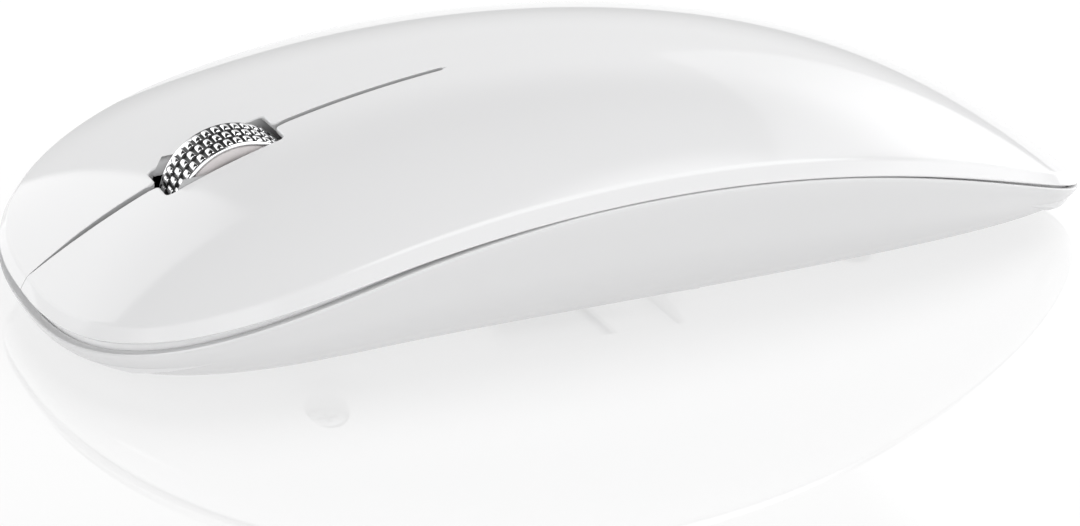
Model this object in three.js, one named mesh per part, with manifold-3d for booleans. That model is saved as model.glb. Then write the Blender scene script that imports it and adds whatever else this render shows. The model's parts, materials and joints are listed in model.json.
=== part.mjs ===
// A slim wireless mouse, in millimetres.
// +Z is up, the nose points to -Y, and +X is the mouse's own left side.
// The origin is on the resting surface, below the middle of the case.
import * as THREE from 'three';
import { mergeVertices } from 'three/addons/utils/BufferGeometryUtils.js';
import Module from 'manifold-3d';

const wasm = await Module();
wasm.setup();

// ---- driving dimensions ----
const LENGTH = 112;              // nose to tail
const WIDTH = 57.7;              // across the widest section
const WIDEST_Y = -29.3;          // where the case is widest
const PLAN_POWER = 2.57;         // superellipse power of the plan outline
const FOOT_STAND = 0.6;          // height of the base above the surface
const SHELL_WALL = 1.6;
const COVER_WALL = 1.4;
const FIT = 0.3;                 // clearance between neighbouring pieces
const SIDES = 64;                // facets around the outline

// the cover: a crown, a bevelled band around it, two button flaps and the slot for the wheel
const BAND_RUN = { side: 1.2, end: 0.7 };
const CREST_Y = 0.7;             // the crown's rings close in on this point
const HINGE_Y = -12;             // line where the two button flaps bend
const PRESS_GAP = 0.95;          // extra gap under the nose for the buttons' travel
const SLIT_GAP = 0.6;
const SLOT = { front: -42.5, rear: -30.9, halfWidth: 3.3, corner: 0.9 };
const WHEEL_CLEARANCE = 0.5;     // between the wheel and the undercut ends of its slot

// the belly: a flat base that sweeps up to the parting edge
const BELLY = { xShare: 0.352, yShare: 0.816, yShift: 3.06, power: 1.9 };
const FRONT_FOOT = { y: -42.3, width: 14, depth: 4.6 };
const REAR_FOOT = { y: 39, width: 8, depth: 4 };
const FOOT_THICK = 0.9;

// the chassis
const RIM = { top: 2, topInner: 3.4, foot: 2.8, footInner: 3.6, thin: 0.9, swell: 2.1 };
const FRONT_BRIDGE = { half: 25.8, front: -10, rear: -5, bottom: 14.6, top: 16.1 };
const REAR_BRIDGE = { half: 24.2, front: 12, rear: 16, bottom: 13.4, top: 14.9 };

// the scroll wheel and its carrier
const WHEEL = { y: -34.6, z: 10.94, radius: 7.1, halfWidth: 2.95, teeth: 20, toothDepth: 0.3 };
const HUB = { radius: 5.5, halfWidth: 2.3, windows: 8, windowRadius: 0.9, windowRing: 3.6 };
const AXLE_RADIUS = 0.8;
const CARRIER = { half: 4.8, front: -43.2, rear: -26, bar: 1.1, bottom: 6.9, top: 8.9 };
const CHEEK = { x: 4.2, thick: 1.2, depth: 5, top: 12.9 };
const WHEEL_SPRING = { x: -6.9, radius: 1.1, bottom: 6.4, height: 3.2, turns: 4, wire: 0.2 };

// the circuit board, its switches and the optical sensor
const BOARD = { left: 16, front: -46, rear: -17, bottom: 5, top: 6 };
const ON_BOARD = BOARD.top + 0.1;
const SENSOR_Y = -20.6;
const CLICK = { x: 11, y: -43, caseTop: 9.1, top: 10.1 };
const WHEEL_SWITCH = { x: 8.4, caseTop: 9, top: 9.8 };
const SCROLL_EYE = { x: 6.6, y: -39.1, top: 12.2 };
const POWER = { x: 11, y: -32.2, travel: 3 };

// the screws
const FRONT_SCREW = { x: 20, y: -33, shankEnd: 11.2, headOuter: 3.4 };
const REAR_SCREW = { x: 8.5, y: 28, shankEnd: 11.6, headOuter: 2 };
const BOARD_SCREW = { x: 14, y: -37.2, shankEnd: 3, headOuter: 7.4 };
const SHANK = 0.9;
const POST_TOP = 9.3;

// the battery in its bay, and the door below it
const BATTERY = { x: -7.6, z: 7.75, radius: 5.25, front: -13.3, length: 44.5 };
const DOOR = { x0: -14.2, x1: -1, y0: -15.4, y1: 34.2 };
const DOOR_AXIS = { y: -16.2, z: 1.3 };
const DOOR_SWING = 0.2;          // extra gap in front of the door, where its edge swings through
const LUG_X = [-12, -5.5];
const LUG = { radius: 0.65, halfWidth: 1 };
const CONTACT_FRONT = DOOR.y0 + 0.1;
const CONTACT_REAR = DOOR.y1 + 0.1;

// the radio receiver, stowed in a pocket in the base
const RECEIVER = { x0: 1.1, x1: 15.5, y0: -13.4, y1: 5.2, z0: 2.2, thick: 6.1, cap: 6.3 };
const PLUG = { width: 12, height: 4.5, wall: 0.4 };

// ---- the shape of the case ----
const FRONT_REACH = LENGTH / 2 + WIDEST_Y;
const REAR_REACH = LENGTH / 2 - WIDEST_Y;
const polynomial = (t, coefficients) => coefficients.reduceRight((sum, c) => sum * t + c, 0);
const along = (y) => y / (LENGTH / 2);

// height of the parting edge, of the bevelled band above it, and of the crown above that
const edgeZ = (y) => polynomial(along(y), [16.84, -0.79, -13.45, -0.16, 0.68]);
const bandHeight = (y) => polynomial(along(y), [1.57, -0.07, -0.65]);
const crownHeight = (y) => Math.max(0, 1 - (y / (LENGTH / 2 - BAND_RUN.end)) ** 2)
  * polynomial(along(y), [4.4, 2.36, 5.1, -1.64]);

// how far a point ahead of the flaps' bending line is towards the nose, from 0 to 1
const towardsNose = (y) => Math.min(1, Math.max(0, (HINGE_Y - y) / (LENGTH / 2 + HINGE_Y)));

// a point of the plan outline; the insets bring it in at the sides and at the ends
function outline(angle, inset, endInset = inset) {
  const c = Math.cos(angle);
  const s = Math.sin(angle);
  const reach = (c > 0 ? FRONT_REACH : REAR_REACH) - endInset;
  const x = (WIDTH / 2 - inset) * Math.sign(s) * Math.abs(s) ** (2 / PLAN_POWER);
  const y = WIDEST_Y - Math.sign(c) * reach * Math.abs(c) ** (2 / PLAN_POWER);
  return { x, y };
}

// half the crown's width at y, inside the bevelled band
function crownHalfWidth(y) {
  const reach = (y < WIDEST_Y ? FRONT_REACH : REAR_REACH) - BAND_RUN.end;
  const share = Math.min(1, Math.abs(y - WIDEST_Y) / reach);
  return (WIDTH / 2 - BAND_RUN.side) * (1 - share ** PLAN_POWER) ** (1 / PLAN_POWER);
}

function crownZ(x, y) {
  const across = Math.min(1, Math.abs(x) / Math.max(crownHalfWidth(y), 1e-6));
  const fall = 0.83 * across ** 2 + 0.17 * across ** 4;
  return edgeZ(y) + bandHeight(y) + crownHeight(y) * (1 - fall);
}

// a point of the belly, at a sweep from 0 on the base to a quarter turn at the parting edge
function bellyPoint(angle, sweep, inset, drop) {
  const edge = outline(angle, inset);
  const base = {
    x: BELLY.xShare * edge.x,
    y: WIDEST_Y + BELLY.yShift + BELLY.yShare * (edge.y - WIDEST_Y),
  };
  const outward = Math.sin(sweep) ** (2 / BELLY.power);
  const upward = 1 - Math.cos(sweep) ** (2 / BELLY.power);
  const floor = FOOT_STAND + inset;
  const rim = edgeZ(outline(angle, 0).y) - drop(edge.y);
  return [
    base.x + (edge.x - base.x) * outward,
    base.y + (edge.y - base.y) * outward,
    floor + (rim - floor) * upward,
  ];
}

// ---- helpers that make solids ----
function solid(geometry) {
  geometry.deleteAttribute('normal');
  geometry.deleteAttribute('uv');
  const merged = mergeVertices(geometry, 1e-5);
  const mesh = new wasm.Mesh({
    numProp: 3,
    vertProperties: new Float32Array(merged.attributes.position.array),
    triVerts: new Uint32Array(merged.index.array),
  });
  return new wasm.Manifold(mesh);
}

function geometryOf(manifold) {
  const mesh = manifold.getMesh();
  const geometry = new THREE.BufferGeometry();
  geometry.setAttribute('position', new THREE.BufferAttribute(mesh.vertProperties, 3));
  geometry.setIndex(new THREE.BufferAttribute(mesh.triVerts, 1));
  return geometry;
}

const join = (...solids) => solids.reduce((all, next) => all.add(next));
const cut = (body, ...tools) => tools.reduce((rest, tool) => rest.subtract(tool), body);

function box(x0, x1, y0, y1, z0, z1) {
  const geometry = new THREE.BoxGeometry(x1 - x0, y1 - y0, z1 - z0);
  return solid(geometry.translate((x0 + x1) / 2, (y0 + y1) / 2, (z0 + z1) / 2));
}

const boxAt = (x, y, width, depth, z0, z1) => (
  box(x - width / 2, x + width / 2, y - depth / 2, y + depth / 2, z0, z1));

function post(x, y, radius, z0, z1, sides = 16, topRadius = radius) {
  const geometry = new THREE.CylinderGeometry(topRadius, radius, z1 - z0, sides);
  return solid(geometry.rotateX(Math.PI / 2).translate(x, y, (z0 + z1) / 2));
}

function rodAlongX(y, z, radius, x0, x1, sides = 16) {
  const geometry = new THREE.CylinderGeometry(radius, radius, x1 - x0, sides);
  return solid(geometry.rotateZ(Math.PI / 2).translate((x0 + x1) / 2, y, z));
}

function rodAlongY(x, z, radius, y0, y1, sides = 16) {
  const geometry = new THREE.CylinderGeometry(radius, radius, y1 - y0, sides);
  return solid(geometry.translate(x, (y0 + y1) / 2, z));
}

// an upright block with rounded corners
function roundedBlock(x, y, width, depth, corner, z0, z1) {
  const shape = new THREE.Shape();
  const [w, d] = [width / 2 - corner, depth / 2 - corner];
  shape.absarc(w, d, corner, 0, Math.PI / 2);
  shape.absarc(-w, d, corner, Math.PI / 2, Math.PI);
  shape.absarc(-w, -d, corner, Math.PI, Math.PI * 1.5);
  shape.absarc(w, -d, corner, Math.PI * 1.5, Math.PI * 2);
  const geometry = new THREE.ExtrudeGeometry(shape, {
    depth: z1 - z0, bevelEnabled: false, curveSegments: 4,
  });
  return solid(geometry.translate(x, y, z0));
}

// a round wire along a curve
function wire(curve, radius, steps, sides = 6) {
  const section = new THREE.Shape();
  for (let i = 0; i < sides; i += 1) {
    const angle = (2 * Math.PI * i) / sides;
    const point = [radius * Math.cos(angle), radius * Math.sin(angle)];
    if (i === 0) section.moveTo(...point);
    else section.lineTo(...point);
  }
  return solid(new THREE.ExtrudeGeometry(section, { extrudePath: curve, steps, bevelEnabled: false }));
}

class Helix extends THREE.Curve {
  constructor(place, turns) {
    super();
    this.place = place;
    this.turns = turns;
  }

  getPoint(t, target = new THREE.Vector3()) {
    return target.copy(this.place(t, 2 * Math.PI * this.turns * t));
  }
}

// a closed solid through rings of points, with a single point at each end
function ringSolid(first, rings, last) {
  const points = [first, ...rings.flat(), last];
  const triangles = [];
  const at = (ring, i) => 1 + ring * SIDES + (i % SIDES);
  for (let i = 0; i < SIDES; i += 1) {
    triangles.push(0, at(0, i + 1), at(0, i));
    for (let ring = 0; ring + 1 < rings.length; ring += 1) {
      const corners = [at(ring, i), at(ring, i + 1), at(ring + 1, i + 1), at(ring + 1, i)];
      triangles.push(corners[0], corners[1], corners[2], corners[0], corners[2], corners[3]);
    }
    triangles.push(at(rings.length - 1, i), at(rings.length - 1, i + 1), points.length - 1);
  }
  const geometry = new THREE.BufferGeometry();
  geometry.setAttribute('position', new THREE.Float32BufferAttribute(points.flat(), 3));
  geometry.setIndex(triangles);
  const made = solid(geometry);
  if (made.volume() > 0) return made;
  for (let i = 0; i < triangles.length; i += 3) triangles.splice(i, 2, triangles[i + 1], triangles[i]);
  geometry.setIndex(triangles);
  return solid(geometry);
}

function ring(place) {
  const points = [];
  for (let i = 0; i < SIDES; i += 1) points.push(place((2 * Math.PI * i) / SIDES));
  return points;
}

// a closed band around the outline with a four-cornered section
function bandSolid(corners) {
  const rings = corners.map(ring);
  const triangles = [];
  const count = corners.length;
  const at = (corner, i) => (corner % count) * SIDES + (i % SIDES);
  for (let corner = 0; corner < count; corner += 1) {
    for (let i = 0; i < SIDES; i += 1) {
      const a = at(corner, i);
      const b = at(corner, i + 1);
      const c = at(corner + 1, i + 1);
      const d = at(corner + 1, i);
      triangles.push(a, c, b, a, d, c);
    }
  }
  const geometry = new THREE.BufferGeometry();
  geometry.setAttribute('position', new THREE.Float32BufferAttribute(rings.flat(2), 3));
  geometry.setIndex(triangles);
  return solid(geometry);
}

// ---- the upper cover, before it is split ----
function crownRing(share, inset, endInset, lower) {
  return ring((angle) => {
    const p = outline(angle, inset, endInset);
    const x = p.x * share;
    const y = CREST_Y * (1 - share) + p.y * share;
    return [x, y, crownZ(x, y) - lower];
  });
}

function coverSkin() {
  const crest = [0, CREST_Y];
  const outer = [0.25, 0.5, 0.7, 0.85, 0.95]
    .map((share) => crownRing(share, BAND_RUN.side, BAND_RUN.end, 0));
  const bandTop = ring((angle) => {
    const p = outline(angle, BAND_RUN.side, BAND_RUN.end);
    return [p.x, p.y, edgeZ(p.y) + bandHeight(p.y)];
  });
  const rim = (inset) => ring((angle) => {
    const p = outline(angle, inset);
    return [p.x, p.y, edgeZ(outline(angle, 0).y)];
  });
  const underside = COVER_WALL * 1.04;
  const inner = [1, 0.8, 0.5].map((share) => crownRing(share, COVER_WALL + 1, COVER_WALL + 1, underside));
  return ringSolid(
    [...crest, crownZ(...crest)],
    [...outer, bandTop, rim(0), rim(COVER_WALL), ...inner],
    [...crest, crownZ(...crest) - underside],
  );
}

// ---- the casing ----
const buttonDrop = (y) => FIT + PRESS_GAP * towardsNose(y);
const SWEEPS = [0.16, 0.32, 0.5, 0.7, 0.86, 1].map((share) => (share * Math.PI) / 2);

function belly(inset) {
  const rings = SWEEPS.map((sweep) => ring((angle) => bellyPoint(angle, sweep, inset, buttonDrop)));
  return [ring((angle) => bellyPoint(angle, 0, inset, buttonDrop)), ...rings];
}

const baseCentre = (inset) => [0, 0, FOOT_STAND + inset];
const bellySkin = () => ringSolid(
  baseCentre(0),
  [...belly(0), ...belly(SHELL_WALL).reverse()],
  baseCentre(SHELL_WALL),
);

// the room inside the belly, half a wall larger so that what stands in it joins the skin
function bellyRoom() {
  const inset = SHELL_WALL / 2;
  const roof = [0, 0, 12];
  return ringSolid(baseCentre(inset), belly(inset), roof);
}

const doorBlock = (grow, growFront = grow) => box(
  DOOR.x0 - grow, DOOR.x1 + grow, DOOR.y0 - growFront, DOOR.y1 + grow, -1, 6);

function batteryBayWalls() {
  const wall = 1;
  const [left, right] = [DOOR.x0 - 0.6, DOOR.x1 + 0.6];
  const [front, rear] = [DOOR.y0 - 1.2, DOOR.y1 + 1.4];
  const sideTop = 8.5;
  const endTop = 11;
  const clearOfDoor = 3.2;
  return join(
    box(left - wall, left, front, rear, 0, sideTop),
    box(right, right + wall, front, rear, 0, sideTop),
    box(left - wall, right + wall, rear - wall, rear, 0, endTop),
    box(left - wall, right + wall, front, front + wall, clearOfDoor, endTop),
  );
}

const receiverBlock = (grow, z0, z1) => box(
  RECEIVER.x0 - grow, RECEIVER.x1 + grow, RECEIVER.y0 - grow, RECEIVER.y1 + grow, z0, z1);

// a hollow post that a screw enters from below, its head in the wider part of the hole
const screwPost = (x, y) => post(x, y, 2.7, 0, POST_TOP);
const screwHole = (x, y, seat) => join(post(x, y, 2.1, 0, seat), post(x, y, 1.3, seat - 1, POST_TOP + 1, 12));

function lowerShell() {
  const pocketTop = RECEIVER.z0 + RECEIVER.thick + 0.5;
  const [frontSeat, rearSeat] = [FRONT_SCREW.headOuter + 1.6, REAR_SCREW.headOuter + 1.6];
  const posts = [screwPost(REAR_SCREW.x, REAR_SCREW.y)];
  const holes = [screwHole(REAR_SCREW.x, REAR_SCREW.y, rearSeat)];
  for (const side of [1, -1]) {
    posts.push(screwPost(side * FRONT_SCREW.x, FRONT_SCREW.y));
    holes.push(screwHole(side * FRONT_SCREW.x, FRONT_SCREW.y, frontSeat));
    posts.push(post(side * BOARD_SCREW.x, BOARD_SCREW.y, 2.2, 0, BOARD.bottom - 0.1));
    holes.push(post(side * BOARD_SCREW.x, BOARD_SCREW.y, 1.2, 2.8, BOARD.top, 12));
  }
  for (const x of LUG_X) {
    const reach = LUG.halfWidth + FIT;
    holes.push(box(x - reach, x + reach, DOOR_AXIS.y - 1.2, DOOR.y0, -1, 3));
  }
  const inside = join(batteryBayWalls(), receiverBlock(1.4, 0, pocketTop + 1), ...posts);
  return cut(
    join(bellySkin(), inside.intersect(bellyRoom())),
    receiverBlock(0.4, -1, pocketTop),
    doorBlock(FIT, FIT + DOOR_SWING),
    roundedBlock(0, SENSOR_Y, 7, 8, 1.5, -1, 3),
    roundedBlock(POWER.x, POWER.y + POWER.travel / 2, 3.6, 7.8, 0.8, -1, 3),
    footPad(FRONT_FOOT, FIT, 0, FOOT_THICK + FIT),
    footPad(REAR_FOOT, FIT, 0, FOOT_THICK + FIT),
    ...holes,
  );
}

// feet: low rounded pads set into the base
function footPad({ y, width, depth }, grow, z0, z1) {
  return roundedBlock(0, y, width + 2 * grow, depth + 2 * grow, depth / 2 - 0.1 + grow, z0, z1);
}

// the chassis: a rim inside the case with two bridges, two front tabs and a rear arm
function midFrame() {
  const rimPoint = (inset, level) => (angle) => {
    const p = outline(angle, inset);
    return [p.x, p.y, edgeZ(p.y) + level(p.y)];
  };
  const top = (y) => -FIT - PRESS_GAP * towardsNose(y);
  const bottom = (y) => top(y) - RIM.thin - RIM.swell * (1 - along(y) ** 2) ** 0.8;
  const rim = bandSolid([
    rimPoint(RIM.top, top),
    rimPoint(RIM.foot, bottom),
    rimPoint(RIM.footInner, bottom),
    rimPoint(RIM.topInner, top),
  ]);
  const bridge = ({ half, front, rear, bottom: z0, top: z1 }) => box(-half, half, front, rear, z0, z1);
  const armTop = 12;
  const tabTop = 11.6;
  const pieces = [
    bridge(FRONT_BRIDGE),
    bridge(REAR_BRIDGE),
    box(REAR_SCREW.x - 2.6, 20.8, REAR_SCREW.y - 2.4, REAR_SCREW.y + 2.4, POST_TOP + FIT, armTop),
  ];
  const holes = [post(REAR_SCREW.x, REAR_SCREW.y, 1.3, POST_TOP, armTop + 1, 12)];
  for (const side of [1, -1]) {
    pieces.push(boxAt(side * (FRONT_SCREW.x + 1.5), FRONT_SCREW.y, 8.2, 5, POST_TOP + FIT, tabTop));
    holes.push(post(side * FRONT_SCREW.x, FRONT_SCREW.y, 1.3, POST_TOP, tabTop + 1, 12));
  }
  return cut(join(rim, ...pieces), ...holes);
}

// ---- the cover's three parts ----
const FAR = 60;                  // beyond the case on every side
const skin = coverSkin();
const slotBlock = roundedBlock(
  0, (SLOT.front + SLOT.rear) / 2, 2 * SLOT.halfWidth, SLOT.rear - SLOT.front, SLOT.corner, 0, FAR);

const palmCover = () => skin.intersect(box(-FAR, FAR, HINGE_Y + FIT / 2, FAR, 0, FAR));

function button(side) {
  const inner = SLIT_GAP / 2;
  const [x0, x1] = side > 0 ? [inner, FAR] : [-FAR, -inner];
  const flap = skin.intersect(box(x0, x1, -FAR, HINGE_Y - FIT / 2, 0, FAR));
  const under = crownZ(CLICK.x, CLICK.y) - COVER_WALL / 2;
  const pusher = post(side * CLICK.x, CLICK.y, 1.6, CLICK.top + FIT, under, 12);
  const undercut = rodAlongX(
    WHEEL.y, WHEEL.z, WHEEL.radius + WHEEL_CLEARANCE, -SLOT.halfWidth, SLOT.halfWidth, 32);
  return join(cut(flap, slotBlock, undercut), pusher);
}

// ---- the scroll wheel ----
const acrossAtWheel = (geometry, half) => (
  geometry.translate(0, 0, -half).rotateY(Math.PI / 2).translate(0, WHEEL.y, WHEEL.z));

function roundHole(x, y, radius) {
  const hole = new THREE.Path();
  hole.absarc(x, y, radius, 0, 2 * Math.PI, true);
  return hole;
}

function wheelTyre() {
  const shape = new THREE.Shape();
  const steps = WHEEL.teeth * 4;
  for (let i = 0; i < steps; i += 1) {
    const radius = WHEEL.radius - (i % 4 < 2 ? 0 : WHEEL.toothDepth);
    const angle = (2 * Math.PI * i) / steps;
    const point = [radius * Math.cos(angle), radius * Math.sin(angle)];
    if (i === 0) shape.moveTo(...point);
    else shape.lineTo(...point);
  }
  shape.holes.push(roundHole(0, 0, HUB.radius + FIT));
  const geometry = new THREE.ExtrudeGeometry(shape, {
    depth: 2 * WHEEL.halfWidth, bevelEnabled: false, curveSegments: 24,
  });
  return solid(acrossAtWheel(geometry, WHEEL.halfWidth));
}

function wheelHub() {
  const shape = new THREE.Shape();
  shape.absarc(0, 0, HUB.radius, 0, 2 * Math.PI);
  shape.holes.push(roundHole(0, 0, AXLE_RADIUS + FIT));
  for (let i = 0; i < HUB.windows; i += 1) {
    const angle = (2 * Math.PI * i) / HUB.windows;
    shape.holes.push(roundHole(
      HUB.windowRing * Math.cos(angle), HUB.windowRing * Math.sin(angle), HUB.windowRadius));
  }
  const geometry = new THREE.ExtrudeGeometry(shape, {
    depth: 2 * HUB.halfWidth, bevelEnabled: false, curveSegments: 12,
  });
  return solid(acrossAtWheel(geometry, HUB.halfWidth));
}

// the axle reaches over the wheel's own switch on the left and over the spring on the right
const wheelAxle = () => rodAlongX(
  WHEEL.y, WHEEL.z, AXLE_RADIUS, WHEEL_SPRING.x - 1.3, WHEEL_SWITCH.x + 1, 12);

function wheelCarrier() {
  const { half, front, rear, bar, bottom, top } = CARRIER;
  const frame = cut(
    box(-half, half, front, rear, bottom, top),
    box(-half + bar + 0.2, half - bar - 0.2, front + bar, rear - bar, bottom - 1, top + 1),
  );
  const cheeks = [1, -1].map((side) => boxAt(
    side * CHEEK.x, WHEEL.y, CHEEK.thick, CHEEK.depth, top - bar, CHEEK.top));
  return cut(join(frame, ...cheeks), rodAlongX(WHEEL.y, WHEEL.z, AXLE_RADIUS + FIT, -6, 6, 12));
}

const wheelSpring = () => {
  const { x, radius, bottom, height, turns, wire: wireRadius } = WHEEL_SPRING;
  const coil = new Helix((t, turn) => new THREE.Vector3(
    x + radius * Math.cos(turn), WHEEL.y + radius * Math.sin(turn), bottom + height * t), turns);
  return wire(coil, wireRadius, turns * 9, 5);
};

// ---- the circuit board and what is on it ----
function circuitBoard() {
  const { left, front, rear, bottom, top } = BOARD;
  const [below, above] = [bottom - 1, top + 1];
  const plate = roundedBlock(0, (front + rear) / 2, 2 * left, rear - front, 3, bottom, top);
  const wheelOpening = box(
    -CARRIER.half - 0.4, CARRIER.half + 0.4, CARRIER.front - 0.6, CARRIER.rear + 0.8, below, above);
  return cut(
    plate,
    wheelOpening,
    boxAt(0, SENSOR_Y, 5, 5, below, above),
    post(BOARD_SCREW.x, BOARD_SCREW.y, 1.2, below, above, 12),
    post(-BOARD_SCREW.x, BOARD_SCREW.y, 1.2, below, above, 12),
  );
}

// a push switch: a square case with a round well, and the plunger in it
const switchCase = (x, y, top) => cut(
  boxAt(x, y, 6, 6, ON_BOARD, top), post(x, y, 2, BOARD.top + 1.2, top + 1));
const switchPlunger = (x, y, caseTop, top) => post(x, y, 1.7, caseTop - 1, top, 12, 1.5);

const sensorLens = () => join(
  roundedBlock(0, SENSOR_Y, 6.2, 7.2, 1.2, 1, 2.6),
  boxAt(0, SENSOR_Y, 9, 7.6, 2.5, 3.3),
  post(0, SENSOR_Y, 2, 3.2, 4.4, 16, 1.2),
);

// a cross-head screw at x, y, which may point up or down
function screw(x, y, { shankEnd, headOuter }, headRadius) {
  const inward = Math.sign(shankEnd - headOuter);
  const headInner = headOuter + inward * 1.3;
  const span = (a, b) => [Math.min(a, b), Math.max(a, b)];
  const recess = span(headOuter - inward, headOuter + inward * 0.6);
  const drive = join(boxAt(x, y, 2, 0.5, ...recess), boxAt(x, y, 0.5, 2, ...recess));
  const head = cut(post(x, y, headRadius, ...span(headOuter, headInner)), drive);
  return join(head, post(x, y, SHANK, ...span(headInner - inward * 0.2, shankEnd), 12));
}

// ---- power switch ----
const powerSwitchBody = () => cut(
  boxAt(POWER.x, POWER.y + POWER.travel / 2, 4, 9, 3.6, BOARD.bottom - 0.1),
  boxAt(POWER.x, POWER.y + POWER.travel / 2, 1.8, 6, 3, 4.6),
);
function powerKnob() {
  const { x, y } = POWER;
  const grooves = [-1.2, 0, 1.2].map((shift) => boxAt(x, y + shift, 4, 0.4, 0, 1.1));
  const button = cut(roundedBlock(x, y, 3, 4.2, 0.6, 0.8, 2.7), ...grooves);
  const flange = boxAt(x - 0.1, y, 4.2, 5, 2.6, 3.1);
  const tongue = boxAt(x, y, 1.1, 1.6, 3, 4.3);
  return join(button, flange, tongue);
}

// ---- battery, its contacts and leads ----
const battery = () => join(
  rodAlongY(BATTERY.x, BATTERY.z, BATTERY.radius, BATTERY.front + 1, BATTERY.front + BATTERY.length, 28),
  rodAlongY(BATTERY.x, BATTERY.z, 1.9, BATTERY.front, BATTERY.front + 1.2, 16),
);

const positiveContact = () => join(
  box(BATTERY.x - 3, BATTERY.x + 3, CONTACT_FRONT, CONTACT_FRONT + 0.4, 4, 10.6),
  rodAlongY(BATTERY.x, BATTERY.z, 1.5, CONTACT_FRONT + 0.2, BATTERY.front - 0.1, 12),
);

function batterySpring() {
  const start = BATTERY.front + BATTERY.length + 0.5;
  const reach = CONTACT_REAR - 0.3 - start;
  const coil = new Helix((t, turn) => {
    const radius = 1.9 + 1.3 * t;
    return new THREE.Vector3(
      BATTERY.x + radius * Math.cos(turn), start + reach * t, BATTERY.z + radius * Math.sin(turn));
  }, 3);
  const plate = box(BATTERY.x - 4, BATTERY.x + 4, CONTACT_REAR - 0.5, CONTACT_REAR - 0.1, 4, 11);
  return join(wire(coil, 0.3, 33, 5), plate);
}

const leadPath = (points) => new THREE.CatmullRomCurve3(points.map((p) => new THREE.Vector3(...p)));
const redLead = () => wire(leadPath([
  [-9.5, CONTACT_FRONT + 0.9, 11.4], [-9.5, -16, 12.3], [-9.2, -18.2, 11], [-7.3, -18, 8.2], [-7, -18, 6.4],
]), 0.5, 16);
const blackLead = () => wire(leadPath([
  [-9.5, CONTACT_REAR - 1, 11.7], [-13.5, 30, 12], [-17.5, 22, 10.5], [-17.6, 8, 10.5],
  [-17.6, -6, 10.5], [-17.6, -15.5, 9.9], [-15.6, -19.4, 8.2], [-14.6, -19.8, 6.4],
]), 0.5, 34);

// ---- battery door ----
function batteryDoor() {
  const plate = bellySkin().intersect(doorBlock(0));
  const { y, z } = DOOR_AXIS;
  const lugs = LUG_X.map((x) => {
    const [x0, x1] = [x - LUG.halfWidth, x + LUG.halfWidth];
    return join(rodAlongX(y, z, LUG.radius, x0, x1, 12), box(x0, x1, y, DOOR.y0 + 0.5, z - 0.4, z + 0.5));
  });
  const fingerNotch = roundedBlock(BATTERY.x, DOOR.y1 - 3, 6, 2, 0.9, 0, 1.2);
  return cut(join(plate, ...lugs), fingerNotch);
}

// ---- radio receiver stored in the base ----
const RECEIVER_MID = {
  x: (RECEIVER.x0 + RECEIVER.x1) / 2,
  z: RECEIVER.z0 + RECEIVER.thick / 2,
};
const CAP_FRONT = RECEIVER.y1 - RECEIVER.cap;
function receiverCap() {
  const block = box(
    RECEIVER.x0, RECEIVER.x1, CAP_FRONT, RECEIVER.y1, RECEIVER.z0, RECEIVER.z0 + RECEIVER.thick);
  const socket = boxAt(RECEIVER_MID.x, CAP_FRONT, PLUG.width + 0.6, 4,
    RECEIVER_MID.z - PLUG.height / 2 - 0.3, RECEIVER_MID.z + PLUG.height / 2 + 0.3);
  return cut(block, socket);
}
function receiverPlug() {
  const [y0, y1] = [RECEIVER.y0, CAP_FRONT + 1.7];
  const { x, z } = RECEIVER_MID;
  const sleeve = (shrink, from) => box(
    x - PLUG.width / 2 + shrink, x + PLUG.width / 2 - shrink, from, y1 - 2 * shrink,
    z - PLUG.height / 2 + shrink, z + PLUG.height / 2 - shrink);
  return cut(sleeve(0, y0), sleeve(PLUG.wall, y0 - 1));
}
const receiverTongue = () => box(
  RECEIVER_MID.x - 5, RECEIVER_MID.x + 5, RECEIVER.y0 + 0.6, CAP_FRONT + 0.6,
  RECEIVER_MID.z + 0.1, RECEIVER_MID.z + 1.5);

// ---- materials ----
const finish = (color, roughness, metalness = 0) => (
  () => new THREE.MeshStandardMaterial({ color, roughness, metalness }));
const glossWhite = finish(0xe9e9ea, 0.12);
const satinWhite = finish(0xdededf, 0.3);
const chrome = finish(0xd5d7da, 0.06, 1);
const steel = finish(0xb8babd, 0.3, 1);
const brass = finish(0xc9a255, 0.35, 1);
const boardGreen = finish(0x1f5a38, 0.5);
const blackPlastic = finish(0x1b1b1d, 0.45);
const greyPlastic = finish(0x8a8c90, 0.4);
const clearPlastic = finish(0xdfe8ee, 0.05);
const redPlastic = finish(0xa8281f, 0.4);
const padGrey = finish(0xc9cacc, 0.6);

const mouse = new THREE.Group();
function add(name, material, manifold) {
  const mesh = new THREE.Mesh(geometryOf(manifold), material());
  mesh.name = name;
  mouse.add(mesh);
}

add('lower_shell', satinWhite, lowerShell());
add('mid_frame', satinWhite, midFrame());
add('palm_cover', glossWhite, palmCover());
add('left_button', glossWhite, button(1));
add('right_button', glossWhite, button(-1));
add('front_foot', padGrey, footPad(FRONT_FOOT, 0, 0, FOOT_THICK));
add('rear_foot', padGrey, footPad(REAR_FOOT, 0, 0, FOOT_THICK));

add('wheel_tyre', chrome, wheelTyre());
add('wheel_hub', greyPlastic, wheelHub());
add('wheel_axle', steel, wheelAxle());
add('wheel_carrier', greyPlastic, wheelCarrier());
add('wheel_spring', steel, wheelSpring());

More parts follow.
